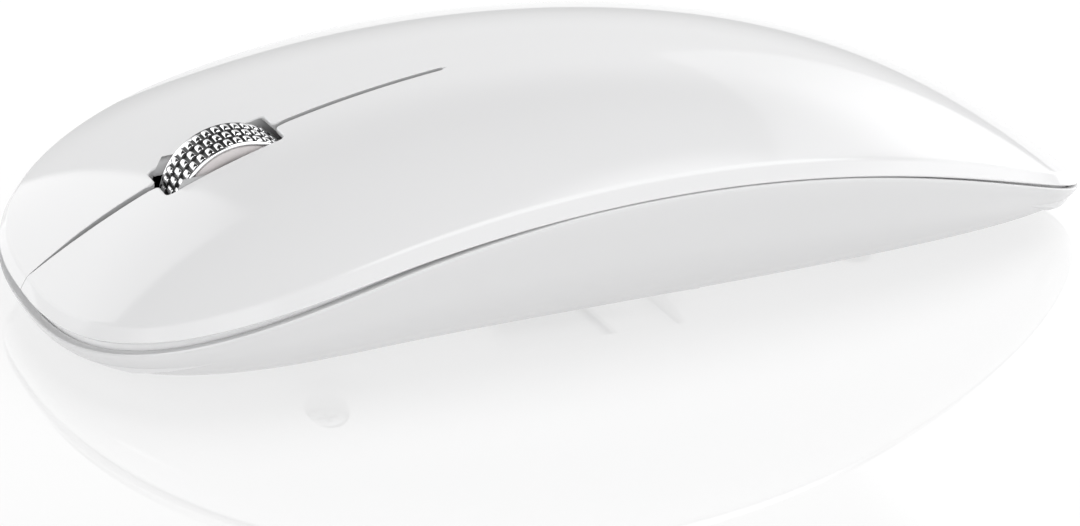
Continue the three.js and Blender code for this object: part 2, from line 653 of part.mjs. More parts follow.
add('circuit_board', boardGreen, circuitBoard());
for (const [name, side] of [['left', 1], ['right', -1]]) {
  const x = side * CLICK.x;
  add(`${name}_switch_case`, blackPlastic, switchCase(x, CLICK.y, CLICK.caseTop));
  add(`${name}_switch_plunger`, redPlastic, switchPlunger(x, CLICK.y, CLICK.caseTop, CLICK.top));
  add(`board_screw_${name}`, steel, screw(side * BOARD_SCREW.x, BOARD_SCREW.y, BOARD_SCREW, 1.7));
  add(`case_screw_front_${name}`, steel, screw(side * FRONT_SCREW.x, FRONT_SCREW.y, FRONT_SCREW, 1.8));
}
add('case_screw_rear', steel, screw(REAR_SCREW.x, REAR_SCREW.y, REAR_SCREW, 1.8));
const { x: wheelSwitchX, caseTop: wheelCaseTop, top: wheelPlungerTop } = WHEEL_SWITCH;
add('wheel_switch_case', blackPlastic, switchCase(wheelSwitchX, WHEEL.y, wheelCaseTop));
add('wheel_switch_plunger', redPlastic, switchPlunger(wheelSwitchX, WHEEL.y, wheelCaseTop, wheelPlungerTop));
add('scroll_emitter', clearPlastic, boxAt(SCROLL_EYE.x, SCROLL_EYE.y, 2, 2.2, ON_BOARD, SCROLL_EYE.top));
add('scroll_receiver', blackPlastic, boxAt(-SCROLL_EYE.x, SCROLL_EYE.y, 2, 2.2, ON_BOARD, SCROLL_EYE.top));
add('sensor_chip', blackPlastic, boxAt(0, SENSOR_Y - 0.1, 9, 7, ON_BOARD, 8.3));
add('sensor_led', clearPlastic, boxAt(6.9, SENSOR_Y, 3, 3, ON_BOARD, 9));
add('sensor_lens', clearPlastic, sensorLens());
add('radio_chip', blackPlastic, boxAt(-11, -31.5, 5, 5, ON_BOARD, 7));
add('clock_crystal', steel, boxAt(-11, -26, 5, 3.2, ON_BOARD, 7.2));
add('boost_coil', greyPlastic, boxAt(12.2, SENSOR_Y, 4.6, 4.6, ON_BOARD, 9));
add('capacitor', greyPlastic, post(-10.5, -21.6, 2, ON_BOARD, 10.5, 16));
add('power_switch_body', blackPlastic, powerSwitchBody());
add('power_knob', blackPlastic, powerKnob());

add('battery', greyPlastic, battery());
add('battery_spring', steel, batterySpring());
add('battery_contact', brass, positiveContact());
add('battery_lead_red', redPlastic, redLead());
add('battery_lead_black', blackPlastic, blackLead());
add('battery_door', satinWhite, batteryDoor());

add('receiver_cap', blackPlastic, receiverCap());
add('receiver_plug', steel, receiverPlug());
add('receiver_tongue', blackPlastic, receiverTongue());

export default mouse;
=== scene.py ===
"""A slim, glossy white wireless mouse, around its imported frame. Blender 4.5, metres."""
import json
import math

import bmesh
import bpy
import numpy as np
from mathutils import Matrix, Vector
from mathutils.geometry import delaunay_2d_cdt


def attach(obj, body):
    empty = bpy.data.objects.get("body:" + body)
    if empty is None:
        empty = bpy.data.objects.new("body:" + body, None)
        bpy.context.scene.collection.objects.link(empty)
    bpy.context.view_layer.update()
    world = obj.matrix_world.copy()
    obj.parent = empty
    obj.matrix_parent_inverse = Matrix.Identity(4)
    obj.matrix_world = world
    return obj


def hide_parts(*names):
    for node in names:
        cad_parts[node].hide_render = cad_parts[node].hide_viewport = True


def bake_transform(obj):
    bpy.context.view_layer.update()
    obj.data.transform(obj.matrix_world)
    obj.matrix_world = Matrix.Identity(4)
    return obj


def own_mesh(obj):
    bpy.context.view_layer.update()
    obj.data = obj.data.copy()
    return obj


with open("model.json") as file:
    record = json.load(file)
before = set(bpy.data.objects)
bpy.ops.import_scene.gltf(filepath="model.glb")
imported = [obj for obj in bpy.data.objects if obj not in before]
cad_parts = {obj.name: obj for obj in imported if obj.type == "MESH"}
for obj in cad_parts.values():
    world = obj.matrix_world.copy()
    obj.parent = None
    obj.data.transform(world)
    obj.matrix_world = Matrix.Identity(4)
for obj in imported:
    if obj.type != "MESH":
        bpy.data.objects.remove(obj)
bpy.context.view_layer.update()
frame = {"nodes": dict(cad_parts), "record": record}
MM = 0.001

# ---------------------------------------------------------------- the shape of the case, in mm
LENGTH = 112.0
WIDTH = 57.7
WIDEST_Y = -29.3
PLAN_POWER = 2.57         # how square the plan is
FRONT_REACH = LENGTH / 2 + WIDEST_Y
REAR_REACH = LENGTH / 2 - WIDEST_Y
BAND_SIDE, BAND_END = 1.2, 0.7
RIDGE_ROUND = 0.28
FOOT_STAND = 0.6
COVER_WALL = 1.4
COVER_DROP = COVER_WALL * 1.04   # the wall measured straight down
SKIRT_WALL = 0.9          # the bevelled band's wall
SHELL_WALL = 1.6
HINGE_Y = -12.0

SLIT_END = -13.5
SLIT_HALF = [(-56.0, 0.015), (-55.2, 0.04), (-54.0, 0.15), (-52.0, 0.27), (-50.0, 0.41),
             (-47.0, 0.5), (-42.5, 0.52), (-30.9, 0.4), (-13.5, 0.38)]    # (y, half its width)
EDGE_ROUND = 0.06
SLOT_FRONT, SLOT_REAR, SLOT_HALF, SLOT_CORNER = -42.5, -30.9, 3.3, 0.8
SLOT_LIP, SLOT_WALL, SLOT_FLARE = 0.2, 2.3, 0.3
FRONT_WALL = 3.6          # the slot's front wall goes deeper
WHEEL_Y, WHEEL_Z, WHEEL_R = -34.6, 10.94, 7.1
WHEEL_CLEARANCE = 0.5
NOSE_ANGLE = 3.2e-4       # where the rim of each flap starts beside the slit


def edge_z(y):
    """Height of the cover's lower edge along the mouse."""
    t = y / (LENGTH / 2)
    return 16.84 - 0.79 * t - 13.45 * t**2 - 0.16 * t**3 + 0.68 * t**4


def band_height(y):
    """Height of the bevelled band around the cover."""
    t = y / (LENGTH / 2)
    return 1.57 - 0.07 * t - 0.65 * t**2


def crown_height(y):
    """Height of the crown over the band, on the centre line."""
    t = y / (LENGTH / 2)
    fade = np.clip(1 - (y / (LENGTH / 2 - BAND_END)) ** 2, 0, None)
    return fade * (4.4 + 2.36 * t + 5.1 * t**2 - 1.64 * t**3)


def outline(angle, side, end=None):
    """A point of the plan outline; side and end bring it in at the sides and at the ends."""
    end = side if end is None else end
    c, s = np.cos(angle), np.sin(angle)
    reach = np.where(c > 0, FRONT_REACH, REAR_REACH) - end
    x = (WIDTH / 2 - side) * np.sign(s) * np.abs(s) ** (2 / PLAN_POWER)
    y = WIDEST_Y - np.sign(c) * reach * np.abs(c) ** (2 / PLAN_POWER)
    return x, y


def crown_half_width(y):
    """Half the width between the ridges where the crown meets the band."""
    reach = np.where(y < WIDEST_Y, FRONT_REACH, REAR_REACH) - BAND_END
    share = np.clip(np.abs(y - WIDEST_Y) / reach, 0, 1)
    return (WIDTH / 2 - BAND_SIDE) * (1 - share**PLAN_POWER) ** (1 / PLAN_POWER)


def crown_z(x, y):
    """Height of the crown's surface."""
    across = np.clip(np.abs(x) / np.maximum(crown_half_width(y), 1e-6), 0, 1)
    fall = 0.83 * across**2 + 0.17 * across**4
    return edge_z(y) + band_height(y) + crown_height(y) * (1 - fall)


def crown_normal(x, y, h=0.02):
    """Outward normal of the crown, from heights a small step h apart."""
    gx = (crown_z(x + h, y) - crown_z(x - h, y)) / (2 * h)
    gy = (crown_z(x, y + h) - crown_z(x, y - h)) / (2 * h)
    n = np.stack([-gx, -gy, np.ones_like(gx)], -1)
    return n / np.linalg.norm(n, axis=-1, keepdims=True)


# ---------------------------------------------------------------- mesh helpers
def new_object(name, verts, faces, material, scale=MM):
    """An object in the scene with one material, from points in mm."""
    mesh = bpy.data.meshes.new(name)
    mesh.from_pydata([tuple(float(c) * scale for c in v) for v in verts], [], [tuple(f) for f in faces])
    mesh.validate()
    obj = bpy.data.objects.new(name, mesh)
    bpy.context.scene.collection.objects.link(obj)
    obj.data.materials.append(material)
    return obj


def ring_faces(count, n):
    """Quads between count closed rings of n points, the last joined to the first."""
    faces = []
    for ring in range(count):
        here, there = ring * n, (ring + 1) % count * n
        faces += [(here + i, here + (i + 1) % n, there + (i + 1) % n, there + i) for i in range(n)]
    return faces


def recalc(obj):
    """Turns all faces outward."""
    bm = bmesh.new()
    bm.from_mesh(obj.data)
    bmesh.ops.recalc_face_normals(bm, faces=bm.faces)
    bm.to_mesh(obj.data)
    bm.free()


def shade(obj, angle=35.0):
    """Smooth shading, with edges sharper than angle kept crisp."""
    mesh = obj.data
    mesh.polygons.foreach_set("use_smooth", [True] * len(mesh.polygons))
    bm = bmesh.new()
    bm.from_mesh(mesh)
    for edge in bm.edges:
        if len(edge.link_faces) == 2:
            edge.smooth = edge.calc_face_angle(0.0) < math.radians(angle)
    bm.to_mesh(mesh)
    bm.free()


def apply_modifiers(obj):
    """Makes the result of the object's modifiers its mesh."""
    bpy.context.view_layer.update()
    depsgraph = bpy.context.evaluated_depsgraph_get()
    mesh = bpy.data.meshes.new_from_object(obj.evaluated_get(depsgraph))
    old = obj.data
    obj.modifiers.clear()
    obj.data = mesh
    bpy.data.meshes.remove(old)


def set_normals(obj, wanted):
    """Gives the corners of these vertices their own exact normals: {vertex: normal}, on outward faces."""
    mesh = obj.data
    corner = np.empty(len(mesh.loops) * 3, np.float32)
    mesh.corner_normals.foreach_get("vector", corner)
    corner = corner.reshape(-1, 3)
    vertex = np.empty(len(mesh.loops), np.int32)
    mesh.loops.foreach_get("vertex_index", vertex)
    exact = np.zeros((len(mesh.vertices), 3), np.float32)
    for index, normal in wanted.items():
        exact[index] = normal
    candidate = exact[vertex]
    near = (candidate * corner).sum(1) > 0.86
    corner[near] = candidate[near]
    mesh.normals_split_custom_set([tuple(n) for n in corner])


def triangulate(loop, spacing, keep_off):
    """Triangles inside a closed plan loop, with inner points on a staggered grid.
    Returns the inner points and faces over loop points first, then inner points."""
    loop = np.array(loop)
    low, high = loop.min(0), loop.max(0)
    rows = np.arange(low[1] + spacing / 2, high[1], spacing * 0.87)
    grid = [
        (x + (spacing / 2 if r % 2 else 0), y)
        for r, y in enumerate(rows)
        for x in np.arange(low[0], high[0], spacing)
    ]
    grid = np.array(grid)
    inside = np.zeros(len(grid), bool)
    nearest = np.full(len(grid), 1e9)
    following = np.roll(loop, -1, axis=0)
    for a, b in zip(loop, following):
        crosses = (a[1] > grid[:, 1]) != (b[1] > grid[:, 1])
        with np.errstate(divide="ignore", invalid="ignore"):
            at = (b[0] - a[0]) * (grid[:, 1] - a[1]) / (b[1] - a[1]) + a[0]
        inside ^= crosses & (grid[:, 0] < at)
        d = b - a
        t = np.clip(((grid - a) @ d) / max(d @ d, 1e-12), 0, 1)
        nearest = np.minimum(nearest, np.hypot(*(grid - (a + t[:, None] * d)).T))
    grid = grid[inside & (nearest > keep_off)]
    points = [Vector(p) for p in loop] + [Vector(p) for p in grid]
    edges = [(i, (i + 1) % len(loop)) for i in range(len(loop))]
    verts, _, faces, origin, _, _ = delaunay_2d_cdt(points, edges, [], 1, 1e-7)
    first = [o[0] for o in origin]
    return grid, [[first[i] for i in f] for f in faces]


# ---------------------------------------------------------------- the cover
PROFILE = 12              # points of every section around a piece of the cover
GAP_WALL = 4              # where the wall starts in a section at the slit or the slot
CROWN_SPACING, UNDER_SPACING = 1.15, 3.0


def rim_profile(angle):
    """The cover's section at its edge, from the crown over the bevelled band to the underside."""
    def at(side, end, lift):
        x, y = outline(angle, side, end)
        return np.array([x, y, edge_z(y) + lift * band_height(y)])

    def on_crown(side, end, drop=0.0):
        x, y = outline(angle, side, end)
        return np.array([x, y, crown_z(x, y) - drop])

    def bend(a, b, c, t):
        return (1 - t) ** 2 * a + 2 * t * (1 - t) * b + t**2 * c

    foot = outline(angle, 0)
    bottom = np.array([foot[0], foot[1], edge_z(foot[1])])

    def under(side):
        x, y = outline(angle, side)
        return np.array([x, y, bottom[2]])

    start = on_crown(BAND_SIDE + RIDGE_ROUND, BAND_END + RIDGE_ROUND)
    ridge = at(BAND_SIDE, BAND_END, 1.0)
    upper = ridge + (bottom - ridge) * 0.15
    lower = ridge + (bottom - ridge) * 0.84
    return [
        start,
        *[bend(start, ridge, upper, t) for t in (0.25, 0.5, 0.75)],
        upper,
        lower,
        bend(lower, bottom, under(0.3), 0.35),
        bend(lower, bottom, under(0.3), 0.7),
        under(0.3),
        under(SKIRT_WALL),
        under(SKIRT_WALL) + np.array([0, 0, 0.8]),
        on_crown(SKIRT_WALL + 1.3, SKIRT_WALL + 1.3, COVER_DROP),
    ]


def rim_normals(angle):
    """Exact normals of the rim's section, without its last two points."""
    h = 2e-4
    here = np.array(rim_profile(angle))
    ahead = np.array(rim_profile(angle + h)) - np.array(rim_profile(angle - h))
    out = [crown_normal(here[0][0], here[0][1])]
    for k in range(1, PROFILE - 2):
        n = np.cross(ahead[k], here[k + 1] - here[k - 1])
        out.append(n / max(np.linalg.norm(n), 1e-9))
    outward = np.array([math.sin(angle), -math.cos(angle), 1.0])
    return [n if n @ outward > 0 else -n for n in out]


def clear_of_wheel(y, z):
    """Moves a point of the slot's end wall away from the wheel where it would come too close."""
    reach = WHEEL_R + WHEEL_CLEARANCE
    half = math.sqrt(max(0.0, reach**2 - (z - WHEEL_Z) ** 2))
    if y > WHEEL_Y + 3:
        return max(y, WHEEL_Y + half)
    if y < WHEEL_Y - 3:
        return min(y, WHEEL_Y - half)
    return y


def cut_profile(point, toward, radius, depth):
    """The section at the slit or slot: a small round edge and a wall. toward points into the gap."""
    x, y = point
    z = float(crown_z(np.array(x), np.array(y)))
    n = crown_normal(np.array(x), np.array(y))
    across = np.array([toward[0], toward[1], 0.0])
    across -= n * (across @ n)
    across /= np.linalg.norm(across)
    base = np.array([x, y, z])
    out = []
    for share in (0, 0.25, 0.5, 0.75, 1):
        turn = share * math.pi / 2
        out.append(base + across * radius * math.sin(turn) - n * radius * (1 - math.cos(turn)))
    wall = out[-1]
    for share in (0.1, 0.25, 0.4, 0.6, 0.8, 1.0):
        p = wall - np.array([0, 0, 1.0]) * (depth - radius) * share
        if depth >= SLOT_WALL:
            p[1] = clear_of_wheel(p[1], p[2])
        out.append(p)
    inner = out[-1] - across * (radius + 0.15)
    behind_rim = -LENGTH / 2 + SKIRT_WALL + 1.45
    inner[1] = max(inner[1], behind_rim + 0.02 * (y + LENGTH / 2))
    inner[2] = z - COVER_DROP if depth <= COVER_WALL else out[-2][2]
    out.append(inner)
    return out


def seam_profile(x, y):
    """The section where a flap and the palm cover meet, straight down through the wall."""
    top = float(crown_z(np.array(x), np.array(y)))
    return [np.array([x, y, top - COVER_DROP * share]) for share in np.linspace(0, 1, PROFILE)]


def evenly(curve, start, stop, spacing):
    """Parameters along a plan curve at an even spacing, ends included."""
    fine = np.linspace(start, stop, 4000)
    x, y = curve(fine)
    run = np.concatenate([[0], np.cumsum(np.hypot(np.diff(x), np.diff(y)))])
    count = max(2, int(round(run[-1] / spacing)) + 1)
    return np.interp(np.linspace(0, run[-1], count), run, fine)


def slit_half(y):
    """Half the slit's width."""
    ys, halves = zip(*SLIT_HALF)
    return float(np.interp(y, ys, halves))


def slit_round(y):
    """Radius of the slit's upper edges, which fades at the nose."""
    return float(np.interp(y, (-55.3, -52.0), (0.03, EDGE_ROUND)))


def gap_edge(side):
    """The flap's edge along the slit and the slot, from the slit's end to the nose:
    [(x, y), direction into the gap, radius of its edge, depth of its wall]."""
    out = []

    def slit(y):
        radius = slit_round(y)
        out.append(((side * (slit_half(y) + radius), y), (-side, 0.0), radius, COVER_WALL))

    for share in np.linspace(0.15, 1, 6):
        turn = share * math.pi / 2
        radius = slit_half(SLIT_END) + EDGE_ROUND
        x = side * radius * math.sin(turn)
        y = SLIT_END - radius * (1 - math.cos(turn))
        out.append(((x, y), (-side * math.sin(turn), -math.cos(turn)), EDGE_ROUND * share, COVER_WALL))
    for y in np.linspace(SLIT_END - 0.9, SLOT_REAR + 1.2, 22):
        slit(y)
    r, lip, wall, flare = SLOT_CORNER, SLOT_LIP, SLOT_WALL, SLOT_FLARE
    inner = SLOT_HALF + lip
    for share in np.linspace(0, 1, 7):                       # slit into the slot's rear wall
        turn = share * math.pi / 2
        x = slit_half(SLOT_REAR) + lip + flare * (1 - math.cos(turn))
        y = SLOT_REAR + lip + flare * (1 - math.sin(turn))
        out.append(((side * x, y), (-side * math.cos(turn), -math.sin(turn)), lip, wall))
    for x in (1.3, 1.8):
        out.append(((side * x, SLOT_REAR + lip), (0.0, -1.0), lip, wall))
    for share in np.linspace(0, 1, 7):
        turn = share * math.pi / 2
        out.append(((side * (inner - r + r * math.sin(turn)), SLOT_REAR + lip - r * (1 - math.cos(turn))),
                    (-side * math.sin(turn), -math.cos(turn)), lip, wall))
    for y in np.linspace(SLOT_REAR + lip - r, SLOT_FRONT - lip + r, 18)[1:-1]:
        out.append(((side * inner, y), (-side, 0.0), lip, wall))
    for share in np.linspace(0, 1, 7):
        turn = share * math.pi / 2
        out.append(((side * (inner - r * (1 - math.cos(turn))), SLOT_FRONT - lip + r - r * math.sin(turn)),
                    (-side * math.cos(turn), math.sin(turn)), lip, wall + (FRONT_WALL - wall) * share))
    for x in (1.8, 1.3):
        out.append(((side * x, SLOT_FRONT - lip), (0.0, 1.0), lip, FRONT_WALL))
    for share in np.linspace(0, 1, 7):
        turn = share * math.pi / 2
        x = slit_half(SLOT_FRONT) + lip + flare * (1 - math.sin(turn))
        y = SLOT_FRONT - lip - flare * (1 - math.cos(turn))
        out.append(((side * x, y), (-side * math.sin(turn), math.cos(turn)), lip, FRONT_WALL))
    for y in np.linspace(SLOT_FRONT - lip - flare - 0.5, -LENGTH / 2 + BAND_END + RIDGE_ROUND + 0.35, 26):
        slit(y)
    return out


def build_skin(name, columns, normal_of, material, painted_shade_columns=()):
    """A closed piece of the cover from its edge sections, columns, in order around its plan.
    The walls between the sections in its last argument get a grey painted shade: the cover's white
    plastic, painted darker for the shade inside the slit and the slot."""
    count = len(columns)
    verts = [p for column in columns for p in column]
    faces = []
    painted_shade_faces = []
    for i in range(count):
        j = (i + 1) % count
        for k in range(PROFILE - 1):
            if i in painted_shade_columns and j in painted_shade_columns and k >= GAP_WALL:
                painted_shade_faces.append(len(faces))
            faces.append((i * PROFILE + k, j * PROFILE + k, j * PROFILE + k + 1, i * PROFILE + k + 1))
    wanted = dict(normal_of)
    for k, drop in ((0, 0.0), (PROFILE - 1, COVER_DROP)):
        loop = [column[k][:2] for column in columns]
        spacing = CROWN_SPACING if k == 0 else UNDER_SPACING
        inner, triangles = triangulate(loop, spacing, spacing * 0.4)
        base = len(verts)
        z = crown_z(inner[:, 0], inner[:, 1]) - drop
        verts += [np.array([p[0], p[1], h]) for p, h in zip(inner, z)]
        if k == 0:
            normals = crown_normal(inner[:, 0], inner[:, 1])
            wanted.update({base + i: n for i, n in enumerate(normals)})
        for f in triangles:
            faces.append([i * PROFILE + k if i < count else base + i - count for i in f])
    obj = new_object(name, verts, faces, material)
    # The walls of the slit and the slot take the grey painted shade.
    if painted_shade_faces:
        obj.data.materials.append(SLOT_WALL_PAINTED_SHADE)
        for index in painted_shade_faces:
            obj.data.polygons[index].material_index = 1
    recalc(obj)
    shade(obj, 40)
    set_normals(obj, wanted)
    return obj


def cover_part(name, rim_angles, others, material):
    """A piece of the cover: its edge along rim_angles, then other sections around the rest of its plan."""
    columns, wanted, painted_shade_columns = [], {}, set()
    for angle in rim_angles:
        base = len(columns) * PROFILE
        wanted.update({base + k: n for k, n in enumerate(rim_normals(angle))})
        columns.append(rim_profile(angle))
    for profile in others:
        p = profile[0]
        wanted[len(columns) * PROFILE] = crown_normal(np.array(p[0]), np.array(p[1]))
        # Sections along the slit and the slot: their walls get the grey painted shade.
        if p[1] < SLIT_END + 0.05 and abs(p[0]) < 5:
            painted_shade_columns.add(len(columns))
        columns.append(profile)
    return build_skin(name, columns, wanted, material, painted_shade_columns)


def seam_angle():
    """The outline's angle where the flaps' bending line meets it, on the mouse's left."""
    angles = np.linspace(math.pi / 2, math.pi, 20001)
    return float(np.interp(HINGE_Y, outline(angles, 0)[1], angles))


def build_cover(material):
    """The left flap, the right flap and the palm cover, meeting along a slightly bowed seam."""
    corner = seam_angle()
    start = rim_profile(corner)[0]
    half = start[0]
    seam_x = np.linspace(0, half, 26)

    def seam_y(x):
        return HINGE_Y + (start[1] - HINGE_Y) * (x / half) ** 2

    parts = []
    for name, side in (("left_flap", 1), ("right_flap", -1)):
        rim = side * evenly(lambda a: outline(a, 0), NOSE_ANGLE, corner, 0.7)
        seam = [seam_profile(side * x, seam_y(x)) for x in seam_x[::-1][1:]]
        middle = [seam_profile(0.0, y) for y in (HINGE_Y - 0.5, HINGE_Y - 1.0)]
        gap = [cut_profile(*entry) for entry in gap_edge(side)]
        parts.append(cover_part(name, rim, seam + middle + gap, material))
    rim = evenly(lambda a: outline(a, 0), corner, 2 * math.pi - corner, 0.7)
    seam = [seam_profile(-x, seam_y(x)) for x in seam_x[::-1][1:]]
    seam += [seam_profile(x, seam_y(x)) for x in seam_x[1:-1]]
    parts.append(cover_part("palm_skin", rim, seam, material))
    return parts


# ---------------------------------------------------------------- materials
def material(name, color, roughness, metallic=0.0, **sockets):
    """A plain shader; sockets names others of its inputs, with underscores for spaces."""
    mat = bpy.data.materials.new(name)
    mat.use_nodes = True
    shader = mat.node_tree.nodes["Principled BSDF"]
    shader.inputs["Base Color"].default_value = (*color, 1)
    shader.inputs["Roughness"].default_value = roughness
    shader.inputs["Metallic"].default_value = metallic
    for socket, value in sockets.items():
        shader.inputs[socket.replace("_", " ")].default_value = value
    return mat


def add_noise(mat, scale, detail):
    """The value of a procedural noise in object space."""
    nodes, links = mat.node_tree.nodes, mat.node_tree.links
    place = nodes.new("ShaderNodeTexCoord")
    noise = nodes.new("ShaderNodeTexNoise")
    noise.inputs["Scale"].default_value = scale
    noise.inputs["Detail"].default_value = detail
    links.new(place.outputs["Object"], noise.inputs["Vector"])
    return noise.outputs["Fac"]


def texture(mat, scale, low, high, target="Base Color"):
    """Varies a socket between low and high with a fine noise."""
    nodes, links = mat.node_tree.nodes, mat.node_tree.links
    noise = add_noise(mat, scale, 3.0)
    shader = nodes["Principled BSDF"]
    if target == "Base Color":
        mix = nodes.new("ShaderNodeMix")
        mix.data_type = "RGBA"
        mix.inputs["A"].default_value = (*low, 1)
        mix.inputs["B"].default_value = (*high, 1)
        links.new(noise, mix.inputs["Factor"])
        links.new(mix.outputs["Result"], shader.inputs["Base Color"])
    else:
        ramp = nodes.new("ShaderNodeMapRange")
        ramp.inputs["To Min"].default_value = low
        ramp.inputs["To Max"].default_value = high
        links.new(noise, ramp.inputs["Value"])
        links.new(ramp.outputs["Result"], shader.inputs[target])


def bump(mat, scale, distance, strength):
    """A fine grain, of distance in metres."""
    nodes, links = mat.node_tree.nodes, mat.node_tree.links
    relief = nodes.new("ShaderNodeBump")
    relief.inputs["Strength"].default_value = strength
    relief.inputs["Distance"].default_value = distance
    links.new(add_noise(mat, scale, 2.0), relief.inputs["Height"])
    links.new(relief.outputs["Normal"], nodes["Principled BSDF"].inputs["Normal"])


def plastic(name, color, roughness, grain_scale, grain, strength, **sockets):
    """Moulded plastic, with a slightly uneven tone and gloss and a fine grain."""
    mat = material(name, color, roughness, **sockets)
    texture(mat, 60, tuple(c * 0.985 for c in color), color)
    texture(mat, 220, roughness * 0.85, roughness * 1.2, target="Roughness")
    bump(mat, grain_scale, grain, strength)
    return mat


def metal(name, color, roughness):
    """Bare or plated metal, with a faint unevenness in tone and polish."""
    mat = material(name, color, roughness, 1.0)
    texture(mat, 500, tuple(c * 0.92 for c in color), color)
    texture(mat, 900, roughness * 0.7, roughness * 1.3, target="Roughness")
    return mat


GLOSS = plastic("gloss_white_abs", (0.7, 0.7, 0.705), 0.035, 260, 0.00002, 0.01, IOR=1.45)
SATIN = plastic("satin_white_abs", (0.66, 0.66, 0.665), 0.24, 260, 0.00002, 0.02)
# Painted light: this white is far brighter than the case's whites, to lift the shade in the groove under
# the band where the frame shows.
FRAME_WHITE_PAINTED_LIGHT = plastic("frame_white_abs_painted_light", (0.95, 0.95, 0.955), 0.35, 1800, 0.00002, 0.15)
# Painted shade: the slot's walls are the cover's white plastic, and this grey paints the shade that falls
# inside the slot.
SLOT_WALL_PAINTED_SHADE = plastic("slot_wall_painted_shade_grey", (0.5, 0.5, 0.505), 0.4, 1800, 0.00002, 0.15)
# Painted shade: near-black for the tread's floor between the chrome blocks, where shade falls.
TREAD_GAP_PAINTED_SHADE = plastic("tread_gap_painted_shade_black", (0.012, 0.012, 0.013), 0.35, 1800, 0.00002, 0.15)
CHROME = metal("polished_chrome", (0.92, 0.925, 0.935), 0.06)
HUB_GREY = plastic("hub_pale_grey", (0.68, 0.645, 0.645), 0.32, 1800, 0.00002, 0.1)
CAD_FINISHES = {
    "shell_white": SATIN,
    "cover_white": GLOSS,
    "frame_white": FRAME_WHITE_PAINTED_LIGHT,
    "wheel_chrome": CHROME,
    "wheel_plastic": HUB_GREY,
    "foot_pad": plastic("ptfe_pad", (0.6, 0.6, 0.605), 0.42, 900, 0.00003, 0.2),
    "carrier_grey": plastic("carrier_grey_pom", (0.22, 0.22, 0.23), 0.4, 1500, 0.00002, 0.15),
    "steel": metal("nickel_steel", (0.66, 0.665, 0.67), 0.26),
    "brass": metal("brass_plate", (0.72, 0.55, 0.27), 0.3),
    "board_green": plastic("solder_mask_green", (0.012, 0.085, 0.035), 0.28, 700, 0.00003, 0.2),
    "black_plastic": plastic("black_abs", (0.02, 0.02, 0.021), 0.38, 1500, 0.00002, 0.2),
    "red_plastic": plastic("red_plunger", (0.42, 0.018, 0.014), 0.35, 1500, 0.00002, 0.15),
    "clear_plastic": plastic("clear_lens", (0.8, 0.8, 0.8), 0.08, 600, 0.00001, 0.05,
                             Transmission_Weight=0.85),
    "led_tint": plastic("led_epoxy", (0.75, 0.2, 0.16), 0.12, 600, 0.00001, 0.05,
                        Transmission_Weight=0.6),
    "capacitor_sleeve": plastic("capacitor_sleeve", (0.03, 0.03, 0.05), 0.25, 900, 0.00002, 0.1),
    "ferrite": plastic("ferrite_black", (0.05, 0.048, 0.046), 0.55, 2500, 0.00004, 0.4),
    "battery_jacket": plastic("battery_jacket", (0.045, 0.12, 0.16), 0.24, 500, 0.00002, 0.1),
    "lead_red": plastic("lead_red_pvc", (0.5, 0.02, 0.018), 0.4, 1500, 0.00002, 0.15),
    "lead_black": plastic("lead_black_pvc", (0.02, 0.02, 0.02), 0.4, 1500, 0.00002, 0.15),
}
for part in frame["record"]["subparts"]:
    node = frame["nodes"][part["node"]]
    for material_slot in node.material_slots:
        material_slot.material = CAD_FINISHES[part["material_slot"]]
# The stowed receiver's cap matches the casing around it.
for material_slot in frame["nodes"]["receiver_cap"].material_slots:
    material_slot.material = SATIN

# ---------------------------------------------------------------- casing
BELLY_X, BELLY_Y = 0.352, 0.816          # the flat bottom's share of the outline
BELLY_SHIFT, BELLY_POWER = 3.06, 1.9
LIP_INSET, LIP_WALL, LIP_DEPTH = 0.25, 0.85, 2.2
BELOW = -1.0                             # where the openings in the bottom start, clear of it

CASE_SCREWS = [(20, -33, 4.2), (-20, -33, 4.2), (8.5, 28, 1.6)]    # (x, y, the post's foot)
BOARD_SCREWS = [(14, -37.2), (-14, -37.2)]
DOOR_X0, DOOR_X1, DOOR_Y0, DOOR_Y1 = -14.5, -0.7, -16.15, 34.5
DOOR_LUGS = [(-13.4, -10.6), (-6.9, -4.1)]
POCKET_X0, POCKET_X1, POCKET_Y0, POCKET_Y1 = 0.7, 15.9, -13.8, 5.6
POCKET_ROOF, POCKET_WALL = 8.8, 1.0


def toward_nose(y):
    """0 behind the flaps' bending line, rising to 1 at the nose."""
    return np.clip((HINGE_Y - y) / (LENGTH / 2 + HINGE_Y), 0, 1)


def groove(y):
    """Height of the gap under the band: wide at the nose, a hairline amidships, thin to the tail."""
    tail = np.clip((y - 18) / 30, 0, 1)
    return 0.06 + 0.95 * toward_nose(y) + 0.16 * tail


def belly_point(angle, sweep, inset):
    """Points of the bowl: angle goes around the plan, sweep from the flat bottom up to the rim."""
    ex, ey = outline(angle, inset)
    bx = BELLY_X * ex
    by = WIDEST_Y + BELLY_SHIFT + BELLY_Y * (ey - WIDEST_Y)
    outward = np.sin(sweep) ** (2 / BELLY_POWER)
    upward = 1 - np.cos(sweep) ** (2 / BELLY_POWER)
    floor = FOOT_STAND + inset
    rim_y = outline(angle, 0)[1]
    rim = edge_z(rim_y) - groove(rim_y)
    z = floor + (rim - floor) * upward
    return np.stack([bx + (ex - bx) * outward, by + (ey - by) * outward, z], -1)


